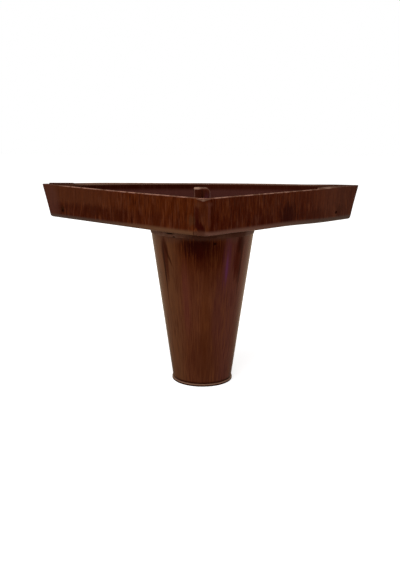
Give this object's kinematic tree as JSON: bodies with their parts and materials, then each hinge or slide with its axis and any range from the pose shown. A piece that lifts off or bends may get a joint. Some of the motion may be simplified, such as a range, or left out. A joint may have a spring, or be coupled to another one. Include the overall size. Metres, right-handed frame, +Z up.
{
  "type": "furniture leg",
  "caption": "Corner sofa leg: hollow tapered steel leg under a shallow right-angled triangular tray with leaning walls, all in a dark wood-grain finish.",
  "frame": {"origin": "centre of the foot plate's underside, on the floor", "axes": "+Z up, +X to the right along the tray's long back wall, -Y towards the tray's right-angled front corner"},
  "size_m": [0.222, 0.111, 0.1216],
  "materials": {
    "tray_finish": "gloss",
    "leg_finish": "gloss",
    "weld_finish": "satin",
    "post_finish": "satin"
  },
  "bodies": {
    "root": {"tray": "tray_finish", "tapered_leg": "leg_finish", "foot_plate": "leg_finish", "leg_weld": "weld_finish", "centre_post": "post_finish"}
  },
  "joints": []
}
